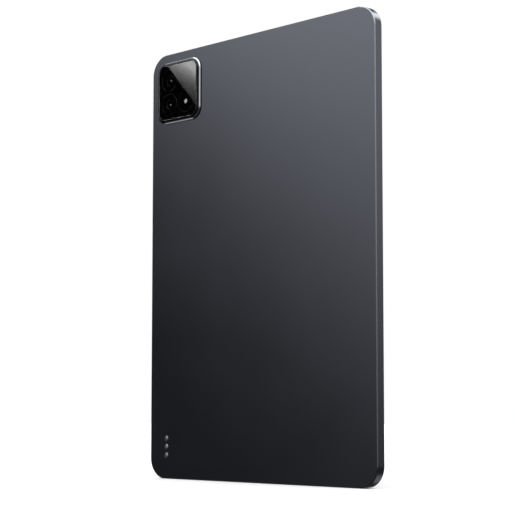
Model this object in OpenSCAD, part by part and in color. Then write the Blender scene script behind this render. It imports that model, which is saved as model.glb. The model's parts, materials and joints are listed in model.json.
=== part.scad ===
// Slim tablet computer with a metal unibody, a square camera island and a
// full-face cover glass. It stands upright on its bottom edge: +Z runs up the
// long side, the screen faces -Y and the metal back faces +Y.
//
// Every piece is drawn lying on its back: x runs to the right as seen from the
// screen, y runs up the long side from the bottom edge, and z runs from the
// outer face of the back (0) to the face of the glass. upright() stands it up.

/* [Body] */
// Width across the short side
body_w = 173.4; // [173.4:0.2:174.2]
// Length along the long side
body_l = 251.2; // [251.2:0.2:252]
// Thickness from the back to the face of the glass
body_t = 6.2; // [6.2:0.05:6.4]
// Radius of the four corners in plan
corner_r = 11.6; // [11:0.2:12.4]
// Chamfer around the back face
back_chamfer = 0.45; // [0.3:0.05:0.5]
// Rounding of the rim around the glass
rim_round = 0.8; // [0.5:0.05:0.85]
// Thickness of the back wall
back_wall = 0.8; // [0.7:0.05:0.8]
// Thickness of the side walls
side_wall = 2.1; // [2:0.05:2.1]

/* [Camera island] */
// Width of the square island
island_w = 36.6; // [36.4:0.1:37]
// Corner radius of the island
island_r = 7.1; // [7:0.1:7.4]
// How far the island stands out of the back
island_h = 2.2; // [2.1:0.05:2.4]
// From the body's middle across to the island's middle
island_x = 62.7; // [62.6:0.1:62.8]
// From the body's top edge down to the island's middle
island_drop = 23.7; // [23.6:0.1:23.8]
// Spacing of the four round lens positions
lens_pitch = 14.3; // [14:0.1:14.4]
// Radius of the thin ring around each lens position
lens_ring_r = 6.5; // [6.2:0.1:6.6]

/* [Keys] */
// Travel of each key
key_travel = 0.3; // [0.2:0.05:0.3]
// Width of each key across the edge of the body
key_h = 2.4; // [2:0.1:2.4]
// How far a key stands out of the edge
key_proud = 0.35; // [0.35:0.05:0.5]
// Length of the power key
power_key_l = 11.6; // [10:0.2:12]
// Length of each volume key
volume_key_l = 10.6; // [9:0.2:10.6]
// Running gap around each key
key_gap = 0.06; // [0.05:0.01:0.1]

/* [Screen] */
// Width of the lit area
active_w = 157.8; // [157:0.2:157.8]
// Length of the lit area
active_l = 236.7; // [236:0.1:236.7]
// Thickness of the cover glass
glass_t = 0.7; // [0.6:0.05:0.7]

/* [Sound] */
// Number of holes in each speaker's row
speaker_holes = 10; // [6:1:10]
// Distance between two speaker holes
speaker_pitch = 2.4; // [2:0.1:2.4]
// Radius of a speaker hole
speaker_hole_r = 0.65; // [0.5:0.05:0.7]

/* [Contacts] */
// Spacing of the three keyboard contacts
contact_pitch = 4.9; // [4.5:0.1:5]
// Radius of a keyboard contact
contact_r = 1.45; // [1.3:0.05:1.5]

/* [Hidden] */
$fn = 64;

cut = 1;                    // how far a cutter reaches past a face
tight = 0.05;               // gap between pieces that are fitted together
half_w = body_w / 2;
middle_y = body_l / 2;
middle = [0, middle_y];

// Levels through the thickness, from the back to the glass
inside_z = back_wall;
inside_top_z = 3.9;         // where the inner pieces end
tray_z = 4;
tray_floor_t = 0.12;
reflector_t = 0.08;
guide_z = tray_z + tray_floor_t + reflector_t;
guide_t = 0.42;
diffuser_t = 0.16;
ledge_z = 4.8;              // ledge that the glass frame sits on
lcd_z = 4.85;
lcd_t = 0.5;
gasket_t = 0.15;
glass_z = body_t - glass_t;
rim_z = body_t - 0.3;

// Plan sizes of the housing's pocket, the glass and its frame
pocket_w = body_w - 2 * side_wall;
pocket_l = body_l - 2 * side_wall;
pocket_r = corner_r - side_wall;
frame_inset = 1.2;
frame_lip = 0.4;
frame_w = body_w - 2 * frame_inset - 2 * tight;
frame_l = body_l - 2 * frame_inset - 2 * tight;
frame_r = corner_r - frame_inset - tight;
glass_w = frame_w - 2 * frame_lip - 2 * tight;
glass_l = frame_l - 2 * frame_lip - 2 * tight;
glass_r = frame_r - frame_lip - tight;
glass_edge = 0.25;
lcd_w = active_w + 1.6;
lcd_l = active_l + 4.2;
lcd_gap = 0.5;
tray_wall = 0.25;

// Camera island, measured out of the back along -z
island_y = body_l - island_drop;
island_at = [island_x, island_y];
step_low = 0.6;             // straight wall of the lower tier
step_bevel = 0.6;           // polished bevel above it
step_high = step_low + step_bevel;
tier_w = island_w - 3.2;
tier_r = island_r - 1.6;
glass_rim = 0.45;
camera_glass_w = tier_w - 2 * glass_rim - 2 * tight;
camera_glass_r = tier_r - glass_rim - tight;
camera_glass_t = 0.6;
mask_t = 0.1;
mask_edge = 0.2;
mask_z = camera_glass_t - island_h;
ring_floor_z = mask_z + mask_t;
ring_floor_t = 0.6;
collar_w = 31;
collar_r = 4.4;
collar_z = 0.9;
lens_ring_w = 0.35;
main_lens = island_at + [lens_pitch, lens_pitch] / 2;
second_lens = island_at + [lens_pitch, -lens_pitch] / 2;
flash_at = island_at - [lens_pitch, lens_pitch] / 2;
plain_at = island_at + [-lens_pitch, lens_pitch] / 2;
lens_spots = [main_lens, second_lens, flash_at, plain_at];
lens_windows = [3.9, 3.1, 1.25, 0];     // clear radius in the mask at each spot
camera_back_z = 3.25;
main_can_w = 12;
second_can_w = 9;
can_gap = 0.1;
barrel_r = 3.7;
barrel_gap = 0.08;
barrel_front_z = ring_floor_z + 0.45;
barrel_back_z = 2.3;
main_glass_r = 2.9;
second_glass_r = 2.4;
sensor_w = 8.2;
sensor_l = 6.4;
sensor_t = 0.3;
flash_r = 2.5;
bracket_z = camera_back_z + tight;
bracket_t = 0.2;

// Keys
key_z = 2.95;
power_key_x = 62;
volume_keys_y = [214.6, 202.4];
key_flange = 0.7;           // how far the flange reaches past the key's ends
key_flange_t = 0.55;
key_stem_r = 0.8;
key_stem_l = 0.5;
key_clear = 0.04;           // gap between the flange and the wall
key_reach = side_wall + key_clear + key_flange_t + key_stem_l;
dome_r = 0.7;
dome_t = 0.12;
switch_gap = key_travel + 0.08;
switch_size = [3.4, 0.75, 1.7];
switch_end_y = body_l - key_reach - switch_gap - dome_t;
switch_side_x = half_w - key_reach - switch_gap - dome_t;
key_plate_t = 0.3;

// Antenna windows, speakers, microphones and socket
antenna_x = 50.5;
antenna_w = 1.2;
antenna_low_z = 1.1;
antenna_high_z = 4.5;
speaker_x = 29;
speaker_w = 30;
speaker_l = 19;
speaker_t = 2.9;
speaker_wall = 0.6;
speaker_z = inside_z + 0.1;
speaker_hole_z = 2.5;
driver_y = speaker_l / 2 + 0.6;
mesh_w = 26;
mesh_h = 2;
mesh_t = 0.25;
mic_hole_r = 0.5;
end_mic_x = 9.5;
side_mic_y = 188;
usb_z = 2.62;
usb_w = 8.94;
usb_h = 3.26;
usb_wall = 0.3;
usb_depth = 6.9;
usb_inset = 0.3;
usb_back = 0.4;
usb_root = 1.2;

// Contacts for a keyboard cover
contacts_x = 72.6;
contacts_y = 18.8;
bush_r = contact_r + 0.22;
dish_r = 5.1;
dish_depth = 0.2;

// Boards and batteries
board_z = 1.6;
board_t = 0.7;
board_top_z = board_z + board_t;
can_t = 1.35;
sheet_t = 0.2;
boss_r = 1.9;
camera_boss_r = 1.6;
boss_root = 0.2;
screw_r = 0.6;
screw_gap = 0.02;
screw_clear_r = screw_r + 0.15;
screw_head_r = 1.2;
screw_head_t = 0.35;
socket_r = 0.5;
cell_w = 75;
cell_l = 116;
cell_t = 2.85;
cell_x = 40.8;
cell_y = 126;
glue_t = 0.1;
flex_t = 0.1;
flex_z = 3.78;
sub_board_y = 32;
display_board_y = 49;
flex_plug_y = 194;
display_flex_x = -66;
board_screw_spots = [
    [-76, 190.5], [-40, 190.5], [8, 190.5], [76, 190.5], [-76, 241.5], [-50.5, 241.5],
    [0, 242], [-36, 35.5], [36, 35.5]
];
camera_screw_spots = [[45.3, 213], [45.3, 226.5], [80.2, 226.5]];
can_spots = [[-24, 209], [24, 209], [-60, 212], [60, 196.5]];
can_sizes = [[26, 25], [28, 25], [24, 22], [26, 13]];

// Front camera and light sensor beside the lit area, and the stylus rail
front_camera_x = 82.35;
front_camera_y = middle_y;
front_camera_r = 1.6;
light_sensor_y = middle_y - 8;
light_sensor_r = 0.8;
rail_x = 82.2;
rail_z = 1;
stylus_y = 160;

// Light source above the top end of the light guide
guide_end = 5;
guide_lift = 2.2;
led_bar_l = 1.9;
led_bar_t = 0.14;
led_bar_y = middle_y + lcd_l / 2 - tray_wall - 1.1;
led_count = 41;
led_pitch = 3.7;

// ---------------------------------------------------------------- shapes

module upright() {
    translate([0, 2, 0]) rotate([90, 0, 0]) children();
}

module round_square(w, l, r) {
    square([w, l - 2 * r], center = true);
    square([w - 2 * r, l], center = true);
    for (sx = [-1, 1], sy = [-1, 1])
        translate([sx * (w / 2 - r), sy * (l / 2 - r)]) circle(r);
}

// Plate with round corners from z0 to z1, centred at [x, y]
module plate(at, w, l, r, z0, z1) {
    translate([at[0], at[1], z0]) linear_extrude(z1 - z0) round_square(w, l, r);
}

// Box from z0 to z1, centred at [x, y]
module block(at, w, l, z0, z1) {
    translate([at[0] - w / 2, at[1] - l / 2, z0]) cube([w, l, z1 - z0]);
}

// Round pin from z0 to z1 at [x, y]
module pin(at, r, z0, z1) {
    translate([at[0], at[1], z0]) cylinder(r = r, h = z1 - z0);
}

// Slot with round ends that lies along x
module slot_shape(l, h) {
    square([l - h, h], center = true);
    for (s = [-1, 1]) translate([s * (l - h) / 2, 0]) circle(h / 2);
}

// Stands a flat shape up in an end wall and pushes it from y0 to y1
module through_end(x, z, y0, y1) {
    translate([x, y1, z]) rotate([90, 0, 0]) linear_extrude(y1 - y0) children();
}

// Stands a flat shape up in the right wall and pushes it from x0 to x1
module through_side(y, z, x0, x1) {
    translate([x0, y, z]) rotate([90, 0, 90]) linear_extrude(x1 - x0) children();
}

// Block from z0 to z1 whose edge follows a flat profile. The profile is drawn
// from x = 0 to x = r, and runs round a plan of w by l with corners of radius r
module swept_block(w, l, r, z0, z1) {
    for (sx = [0, 1], sy = [0, 1]) mirror([sx, 0, 0]) mirror([0, sy, 0])
        translate([w / 2 - r, l / 2 - r, 0]) rotate_extrude(angle = 90) children();
    for (sy = [0, 1]) mirror([0, sy, 0])
        translate([r - w / 2, l / 2 - r, 0]) rotate([90, 0, 90])
            linear_extrude(w - 2 * r) children();
    for (sx = [0, 1]) mirror([sx, 0, 0])
        translate([w / 2 - r, l / 2 - r, 0]) rotate([90, 0, 0])
            linear_extrude(l - 2 * r) children();
    block([0, 0], w - 2 * r, l - 2 * r, z0, z1);
}

// ---------------------------------------------------------------- housing

module housing_edge() {
    polygon([
        [0, 0], [corner_r - back_chamfer, 0], [corner_r, back_chamfer],
        [corner_r, rim_z - rim_round], [corner_r - rim_round, rim_z - rim_round],
        [corner_r - rim_round, rim_z], [0, rim_z]
    ]);
    translate([corner_r - rim_round, rim_z - rim_round]) circle(rim_round);
}

module speaker_row() {
    for (i = [0 : speaker_holes - 1])
        translate([(i - (speaker_holes - 1) / 2) * speaker_pitch, 0]) circle(speaker_hole_r);
}

module key_slot(length) {
    slot_shape(length + 2 * key_gap, key_h + 2 * key_gap);
}

// Windows in both ends, smaller by gap all round and longer by reach at each end
module antenna_slots(gap, reach) {
    for (sx = [-1, 1], y = [side_wall / 2, body_l - side_wall / 2])
        block([sx * antenna_x, y], antenna_w - 2 * gap, side_wall + 2 * reach,
            antenna_low_z + gap, antenna_high_z - gap);
}

module housing_bosses() {
    for (p = board_screw_spots) pin(p, boss_r, inside_z - boss_root, board_z);
    for (p = camera_screw_spots) pin(p, camera_boss_r, inside_z - boss_root, bracket_z);
}

module battery_ribs() {
    for (s = [-1, 1])
        block([0, cell_y + s * (cell_l / 2 + 1)], 2 * 79.2, 0.8, inside_z - boss_root, 3.4);
}

module housing_shell() {
    difference() {
        translate([0, middle_y, 0])
            swept_block(body_w, body_l, corner_r, 0, rim_z) housing_edge();
        plate(middle, pocket_w, pocket_l, pocket_r, inside_z, rim_z + cut);
        plate(middle, body_w - 2 * frame_inset, body_l - 2 * frame_inset,
            corner_r - frame_inset, ledge_z, rim_z + cut);
    }
}

// Openings in one end wall, between y0 and y1
module end_openings(y0, y1) {
    for (sx = [-1, 1])
        through_end(sx * speaker_x, speaker_hole_z, y0, y1) speaker_row();
}

module rear_housing() {
    end_wall = side_wall + 0.1;
    color("#4a4c51") upright() difference() {
        union() {
            housing_shell();
            housing_bosses();
            battery_ribs();
        }
        plate(island_at, collar_w + 2 * tight, collar_w + 2 * tight, collar_r + tight,
            -cut, inside_z + 0.3);
        for (p = board_screw_spots) pin(p, screw_r + screw_gap, 0.4, board_z + cut);
        for (p = camera_screw_spots) pin(p, screw_r + screw_gap, 1.2, inside_top_z);
        for (i = [-1 : 1])
            pin([contacts_x, contacts_y + i * contact_pitch], bush_r + 0.03, -cut, inside_z + cut);
        end_openings(-cut, end_wall);
        end_openings(body_l - end_wall, body_l + cut);
        through_end(0, usb_z, -cut, end_wall) slot_shape(usb_w + 0.3, usb_h + 0.1);
        through_end(end_mic_x, speaker_hole_z, -cut, end_wall) circle(mic_hole_r);
        through_end(power_key_x, key_z, body_l - end_wall, body_l + cut) key_slot(power_key_l);
        for (y = volume_keys_y)
            through_side(y, key_z, half_w - end_wall, half_w + cut) key_slot(volume_key_l);
        through_side(side_mic_y, key_z, half_w - end_wall, half_w + cut) circle(mic_hole_r);
        antenna_slots(0, cut);
    }
}

module antenna_windows() {
    color("#3b3d41") upright() antenna_slots(0.02, 0);
}

// ---------------------------------------------------------------- camera island

module island_edge() {
    polygon([
        [0, 0], [island_r, 0], [island_r, -step_low], [island_r - step_bevel, -step_high],
        [0, -step_high]
    ]);
}

module camera_ring() {
    color("#3c3e42") upright() difference() {
        union() {
            translate([island_x, island_y, 0])
                swept_block(island_w, island_w, island_r, -step_high, 0) island_edge();
            plate(island_at, tier_w, tier_w, tier_r, -island_h, -step_low);
            plate(island_at, collar_w, collar_w, collar_r, -step_low, collar_z);
        }
        plate(island_at, camera_glass_w + 2 * tight, camera_glass_w + 2 * tight,
            camera_glass_r + tight, -island_h - cut, ring_floor_z);
        block(main_lens, main_can_w + 2 * can_gap, main_can_w + 2 * can_gap,
            ring_floor_z + ring_floor_t, collar_z + cut);
        block(second_lens, second_can_w + 2 * can_gap, second_can_w + 2 * can_gap,
            ring_floor_z + ring_floor_t, collar_z + cut);
        pin(main_lens, 4.6, -island_h, collar_z);
        pin(second_lens, 3.9, -island_h, collar_z);
        pin(flash_at, flash_r + can_gap, -island_h, collar_z + cut);
    }
}

module camera_glass() {
    color("#0c0d0f") upright()
        plate(island_at, camera_glass_w, camera_glass_w, camera_glass_r, -island_h, mask_z);
}

// Black film behind the camera glass, with a disc inside each ring
module camera_mask() {
    color("#08080a") upright() {
        difference() {
            plate(island_at, camera_glass_w - 2 * mask_edge, camera_glass_w - 2 * mask_edge,
                camera_glass_r - mask_edge, mask_z, ring_floor_z);
            for (p = lens_spots) pin(p, lens_ring_r, mask_z - cut, ring_floor_z + cut);
        }
        for (i = [0 : 3]) difference() {
            pin(lens_spots[i], lens_ring_r - lens_ring_w, mask_z, ring_floor_z);
            if (lens_windows[i] > 0)
                pin(lens_spots[i], lens_windows[i], mask_z - cut, ring_floor_z + cut);
        }
    }
}

module lens_rings() {
    gap = 0.01;
    color("#55585c") upright() for (p = lens_spots) difference() {
        pin(p, lens_ring_r - gap, mask_z, ring_floor_z);
        pin(p, lens_ring_r - lens_ring_w + gap, mask_z - cut, ring_floor_z + cut);
    }
}

module camera_gasket() {
    color("#1c1c1c") upright() difference() {
        plate(island_at, collar_w + 2.6, collar_w + 2.6, collar_r + 0.6, inside_z, inside_z + 0.5);
        plate(island_at, collar_w + 0.4, collar_w + 0.4, collar_r + 0.1, 0, inside_z + cut);
        for (p = camera_screw_spots) pin(p, camera_boss_r + tight, 0, inside_z + cut);
    }
}

module main_camera_housing() {
    color("#202124") upright() difference() {
        block(main_lens, main_can_w, main_can_w, ring_floor_z + ring_floor_t + tight, camera_back_z);
        pin(main_lens, barrel_r + barrel_gap, -island_h - cut, barrel_back_z + 0.1);
        block(main_lens, sensor_w + 0.8, sensor_l + 0.8, barrel_back_z, camera_back_z - 0.5);
    }
}

module main_lens_barrel() {
    hood_r = 3.25;
    color("#101114") upright() difference() {
        pin(main_lens, barrel_r, barrel_front_z, barrel_back_z);
        pin(main_lens, hood_r, barrel_front_z - cut, barrel_front_z + 0.4);
        pin(main_lens, main_glass_r, barrel_front_z - cut, barrel_back_z + cut);
    }
}

// Round lens with a domed front
module lens_solid(at, r, dome, z0, z1) {
    intersection() {
        pin(at, r, z0, z1);
        translate([at[0], at[1], z0 + dome]) sphere(dome, $fn = 128);
    }
}

module main_lens_glass() {
    color("#23304a") upright()
        lens_solid(main_lens, main_glass_r - 0.01, 8, barrel_front_z + 0.5, barrel_back_z - 0.1);
}

module main_image_sensor() {
    color("#2e4a3c") upright()
        block(main_lens, sensor_w, sensor_l, camera_back_z - 0.5 - sensor_t, camera_back_z - 0.5);
}

module second_camera_housing() {
    snout_r = 3.6;
    color("#202124") upright() difference() {
        union() {
            block(second_lens, second_can_w, second_can_w, 0.2, camera_back_z);
            pin(second_lens, snout_r, ring_floor_z + 0.1, 0.4);
        }
        pin(second_lens, second_glass_r, ring_floor_z - cut, 2.2);
    }
}

module second_camera_lens() {
    color("#1d2c3c") upright()
        lens_solid(second_lens, second_glass_r - 0.02, 6, ring_floor_z + 0.4, 2.1);
}

module flash_led() {
    color("#d8d2a0") upright() {
        block(flash_at, 7.5, 6.5, collar_z, collar_z + 0.5);
        block(flash_at, 2.4, 2.4, 0.2, collar_z);
    }
}

module flash_lens() {
    color("#f2f2ee") upright() difference() {
        pin(flash_at, flash_r, ring_floor_z, 0.1);
        pin(flash_at, flash_r - 0.7, -0.5, cut);
    }
}

module camera_bracket() {
    bracket_top_z = bracket_z + bracket_t;
    color("#a7a9ac") upright() difference() {
        union() {
            block(island_at, 31, 30, bracket_z, bracket_top_z);
            for (p = camera_screw_spots)
                block([(p[0] + island_x) / 2, p[1]], abs(p[0] - island_x) + 2.8, 3,
                    bracket_z, bracket_top_z);
        }
        block(plain_at + [-0.5, -4], 12, 18, 0, inside_top_z);
        block(second_lens, 6.4, 6.4, 0, inside_top_z);
        block(main_lens, 7.4, 7.4, 0, inside_top_z);
        for (p = camera_screw_spots) pin(p, screw_clear_r, 0, inside_top_z);
    }
}

// ---------------------------------------------------------------- screen

module glass_profile() {
    polygon([
        [0, glass_z], [glass_r, glass_z], [glass_r, body_t - glass_edge],
        [glass_r - glass_edge, body_t - glass_edge], [glass_r - glass_edge, body_t],
        [0, body_t]
    ]);
    translate([glass_r - glass_edge, body_t - glass_edge]) circle(glass_edge);
}

module cover_glass() {
    color("#0b0c0e") upright() translate([0, middle_y, 0])
        swept_block(glass_w, glass_l, glass_r, glass_z, body_t) glass_profile();
}

module glass_adhesive() {
    color("#c9ced2") upright() plate(middle, lcd_w, lcd_l, 1, lcd_z + lcd_t, glass_z);
}

module bezel_frame() {
    color("#18191b") upright() difference() {
        plate(middle, frame_w, frame_l, frame_r, ledge_z + gasket_t, rim_z + tight);
        plate(middle, lcd_w + 2 * lcd_gap, lcd_l + 2 * lcd_gap, 1.5, 0, body_t);
        plate(middle, glass_w + 2 * tight, glass_l + 2 * tight, glass_r + tight, glass_z, body_t);
        pin([front_camera_x, front_camera_y], front_camera_r + 0.1, 0, body_t);
        pin([front_camera_x, light_sensor_y], light_sensor_r + 0.1, 0, body_t);
    }
}

module frame_gasket() {
    color("#2a2a2c") upright() difference() {
        plate(middle, frame_w - 0.1, frame_l - 0.1, frame_r - tight, ledge_z, ledge_z + gasket_t);
        plate(middle, pocket_w + 0.2, pocket_l + 0.2, pocket_r + 0.1, 0, body_t);
    }
}

module lcd_panel() {
    color("#17191d") upright() plate(middle, lcd_w, lcd_l, 0.6, lcd_z, lcd_z + lcd_t);
}

// Sheet inside the tray, from z0 to z1
module guide_sheet(z0, z1) {
    inset = tray_wall + 0.15;
    plate([0, middle_y - guide_end / 2 + guide_lift], lcd_w - 2 * inset,
        lcd_l - 2 * inset - guide_end, 0.5, z0, z1);
}

module diffuser_sheet() {
    color("#f1f1ef") upright() guide_sheet(guide_z + guide_t, guide_z + guide_t + diffuser_t);
}

module light_guide() {
    color("#dfe7ea") upright() guide_sheet(guide_z, guide_z + guide_t);
}

module reflector_sheet() {
    color("#f7f7f7") upright() guide_sheet(guide_z - reflector_t, guide_z);
}

module backlight_tray() {
    color("#b9bbbd") upright() difference() {
        plate(middle, lcd_w, lcd_l, 0.6, tray_z, lcd_z);
        plate(middle, lcd_w - 2 * tray_wall, lcd_l - 2 * tray_wall, 0.4,
            tray_z + tray_floor_t, body_t);
        block([0, middle_y - lcd_l / 2], usb_w + 2, 5, 0, body_t);
    }
}

module led_bar() {
    bar_top_z = tray_z + tray_floor_t + led_bar_t;
    color("#e9e6d2") upright() {
        block([0, led_bar_y], lcd_w - 4, led_bar_l, bar_top_z - led_bar_t, bar_top_z);
        for (i = [0 : led_count - 1])
            block([(i - (led_count - 1) / 2) * led_pitch, led_bar_y - 0.3], 2.8, 1.2,
                bar_top_z, lcd_z - 0.15);
    }
}

module display_board() {
    color("#234331") upright() {
        block([-42, display_board_y], 56, 9, flex_z - board_t, flex_z);
        for (x = [-58, -42, -26])
            block([x, display_board_y], 7, 3, flex_z - board_t - 0.9, flex_z - board_t);
    }
}

module front_camera() {
    color("#1a1c20") upright() {
        block([front_camera_x - 0.4, front_camera_y], 3.8, 5.2, board_z, inside_top_z);
        pin([front_camera_x, front_camera_y], front_camera_r, inside_top_z - 0.2, glass_z);
    }
}

module light_sensor() {
    color("#26282c") upright() {
        block([front_camera_x, light_sensor_y], 2.4, 3.2, 2.6, inside_top_z);
        pin([front_camera_x, light_sensor_y], light_sensor_r, inside_top_z - 0.2, glass_z - 0.1);
    }
}

// ---------------------------------------------------------------- keys

// Key with its face at z = 0, its flange behind the wall and its stem below
module key(length) {
    flange_z = key_proud + side_wall + key_clear;
    stem_z = flange_z + key_flange_t;
    linear_extrude(flange_z) slot_shape(length, key_h);
    translate([0, 0, flange_z]) linear_extrude(key_flange_t)
        slot_shape(length + 2 * key_flange, key_h + 0.6);
    translate([0, 0, flange_z]) cylinder(r = key_stem_r, h = stem_z - flange_z + key_stem_l);
}

module volume_key(i) {
    upright() translate([half_w + key_proud, volume_keys_y[i], key_z]) rotate([90, 0, -90])
        key(volume_key_l);
}

module power_button() {
    color("#55575c") upright() translate([power_key_x, body_l + key_proud, key_z])
        rotate([90, 0, 0]) key(power_key_l);
}

module volume_up_button() {
    color("#55575c") volume_key(0);
}

module volume_down_button() {
    color("#55575c") volume_key(1);
}

// Push switch whose round dome faces +y
module switch_body() {
    translate([-switch_size[0] / 2, -switch_size[1], -switch_size[2] / 2]) cube(switch_size);
    translate([0, dome_t, 0]) rotate([90, 0, 0]) cylinder(r = dome_r, h = 2 * dome_t);
}

module key_switches() {
    color("#c7c9cb") upright() {
        translate([power_key_x, switch_end_y, key_z]) switch_body();
        for (y = volume_keys_y)
            translate([switch_side_x, y, key_z]) rotate([0, 0, -90]) switch_body();
    }
}

module key_brackets() {
    depth = switch_size[1] + key_plate_t / 2;
    top_z = inside_top_z - 0.2;
    color("#9a9c9f") upright() {
        block([power_key_x, switch_end_y - depth], power_key_l, key_plate_t, inside_z, top_z);
        block([switch_side_x - depth, (volume_keys_y[0] + volume_keys_y[1]) / 2],
            key_plate_t, 2 * volume_key_l, inside_z, top_z);
    }
}

// ---------------------------------------------------------------- socket and contacts

module usb_port_shell() {
    color("#b4b6b9") upright() difference() {
        through_end(0, usb_z, usb_inset, usb_inset + usb_depth) slot_shape(usb_w, usb_h);
        through_end(0, usb_z, usb_inset - cut, usb_inset + usb_depth - usb_back)
            slot_shape(usb_w - 2 * usb_wall, usb_h - 2 * usb_wall);
    }
}

// Box in the socket, w wide and h high, from y0 to y1
module tongue_block(w, h, y0, y1) {
    translate([-w / 2, y0, usb_z - h / 2]) cube([w, y1 - y0, h]);
}

module usb_port_tongue() {
    root_y = usb_inset + usb_depth - usb_back;
    color("#1b1b1d") upright() {
        tongue_block(6.69, 0.7, usb_inset + 0.9, root_y);
        tongue_block(7.4, 1.9, root_y - usb_root, root_y);
    }
}

module usb_seal() {
    color("#222325") upright() difference() {
        through_end(0, usb_z, side_wall + tight, side_wall + 0.75)
            slot_shape(usb_w + 1.6, usb_h + 0.2);
        through_end(0, usb_z, 0, side_wall + 2) slot_shape(usb_w + 0.04, usb_h + 0.04);
    }
}

module at_contacts() {
    for (i = [-1 : 1]) translate([contacts_x, contacts_y + i * contact_pitch, 0]) children();
}

module keyboard_contacts() {
    color("#c3c5c8") upright() at_contacts() difference() {
        cylinder(r = contact_r, h = board_top_z);
        translate([0, 0, dish_depth - dish_r]) sphere(dish_r, $fn = 128);
    }
}

module contact_carrier() {
    color("#232427") upright() difference() {
        union() {
            block([contacts_x, contacts_y], 7, 3 * contact_pitch + 1.5, inside_z, 1.9);
            at_contacts() cylinder(r = bush_r, h = inside_z + 0.4);
        }
        at_contacts() translate([0, 0, -cut]) cylinder(r = contact_r + 0.01, h = 5);
    }
}

module contact_flex() {
    plug_x = 33;
    color("#a8742a") upright() {
        block([contacts_x, contacts_y + 2], 5, 3 * contact_pitch + 3, board_top_z, board_top_z + flex_t);
        block([(contacts_x + plug_x) / 2 + 1.25, sub_board_y - 3], contacts_x - plug_x + 2.5, 3.5,
            board_top_z, board_top_z + flex_t);
    }
}

// ---------------------------------------------------------------- sound

// Places a speaker's pieces at all four corners, drawn from the wall at y = 0
module at_speakers() {
    for (sx = [-1, 1]) {
        translate([sx * speaker_x, side_wall + tight, 0]) children();
        translate([sx * speaker_x, body_l - side_wall - tight, 0]) mirror([0, 1, 0]) children();
    }
}

module speaker_boxes() {
    color("#27282b") upright() at_speakers() difference() {
        block([0, speaker_l / 2], speaker_w, speaker_l, speaker_z, speaker_z + speaker_t);
        block([0, speaker_l / 2 + mesh_t], speaker_w - 2 * speaker_wall,
            speaker_l - 2 * speaker_wall - 2 * mesh_t, speaker_z + speaker_wall,
            speaker_z + speaker_t + cut);
        through_end(0, speaker_hole_z, -cut, speaker_l / 2)
            slot_shape(speaker_pitch * speaker_holes, 1.5);
        block([0, 0], mesh_w + 0.4, 2 * mesh_t + tight, speaker_hole_z - mesh_h / 2 - 0.1,
            speaker_hole_z + mesh_h / 2 + 0.1);
    }
}

module speaker_drivers() {
    basket_z = speaker_z + 2.1;
    color("#3d3f43") upright() at_speakers() {
        block([0, driver_y], 17, 11.5, speaker_z + speaker_wall, basket_z);
        block([0, driver_y], 14.5, 9, basket_z, basket_z + 0.4);
    }
}

module speaker_meshes() {
    color("#1d1e20") upright() at_speakers()
        block([0, mesh_t / 2], mesh_w, mesh_t, speaker_hole_z - mesh_h / 2, speaker_hole_z + mesh_h / 2);
}

module microphones() {
    color("#c0c1c3") upright() {
        block([end_mic_x, side_wall + 0.7], 3, 1.2, 1.9, 3.1);
        block([half_w - side_wall - 0.7, side_mic_y], 1.2, 3, 2.3, 3.6);
    }
}

// ---------------------------------------------------------------- boards

// Board that runs the full width and leaves room for the camera and speakers
module board_shape() {
    translate([-80, 187]) square([160, 18]);
    translate([-80, 187]) square([122, 38]);
    translate([-80, 225]) square([33, 20]);
    translate([-11, 225]) square([22, 20]);
}

module main_board() {
    color("#1f3b2c") upright() difference() {
        translate([0, 0, board_z]) linear_extrude(board_t) board_shape();
        for (p = board_screw_spots) pin(p, screw_clear_r, 0, inside_top_z);
    }
}

module shield_cans() {
    color("#aeb0b2") upright() for (i = [0 : 3]) difference() {
        block(can_spots[i], can_sizes[i][0], can_sizes[i][1], board_top_z, board_top_z + can_t);
        block(can_spots[i], can_sizes[i][0] - 2 * sheet_t, can_sizes[i][1] - 2 * sheet_t,
            board_top_z - cut, board_top_z + can_t - sheet_t);
    }
}

module heat_spreader() {
    color("#2b2c2e") upright()
        block([0.5, 209], 75, 24.6, board_top_z + can_t, board_top_z + can_t + flex_t);
}

module board_chips() {
    chip_w = [14, 12, 9, 8];
    chip_t = 0.9;
    color("#17181a") upright() {
        for (i = [0 : 3])
            block(can_spots[i], chip_w[i], chip_w[i], board_top_z, board_top_z + chip_t);
        block([-20, sub_board_y], 5, 5, board_top_z, board_top_z + chip_t);
    }
}

module sub_board() {
    color("#1f3b2c") upright() difference() {
        union() {
            block([0, sub_board_y], 84, 12, board_z, board_top_z);
            block([0, sub_board_y - 15.5], 20, 20, board_z, board_top_z);
        }
        block([0, 5], usb_w + 0.6, 6, 0, body_t);
        for (p = board_screw_spots) pin(p, screw_clear_r, 0, inside_top_z);
    }
}

module board_connectors() {
    color("#d6d2c4") upright() {
        block([0, flex_plug_y], 9, 3, board_top_z, flex_z);
        block([display_flex_x, flex_plug_y], 9, 3, board_top_z, flex_z);
        block([0, sub_board_y + 2], 9, 3, board_top_z, flex_z);
        block([30, sub_board_y - 3], 5.6, 2.6, board_top_z, board_top_z + 0.6);
    }
}

module link_flexes() {
    overlap = 4;
    color("#b07d2e") upright() {
        block([0, (sub_board_y + flex_plug_y) / 2], 5, flex_plug_y - sub_board_y + overlap,
            flex_z, flex_z + flex_t);
        block([display_flex_x, (display_board_y + flex_plug_y) / 2], 6,
            flex_plug_y - display_board_y + overlap, flex_z, flex_z + flex_t);
    }
}

module battery_cell(x) {
    upright() plate([x, cell_y], cell_w, cell_l, 1.2, inside_z + glue_t, inside_z + glue_t + cell_t);
}

module battery_left() {
    color("#2a2b2e") battery_cell(-cell_x);
}

module battery_right() {
    color("#2a2b2e") battery_cell(cell_x);
}

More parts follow.
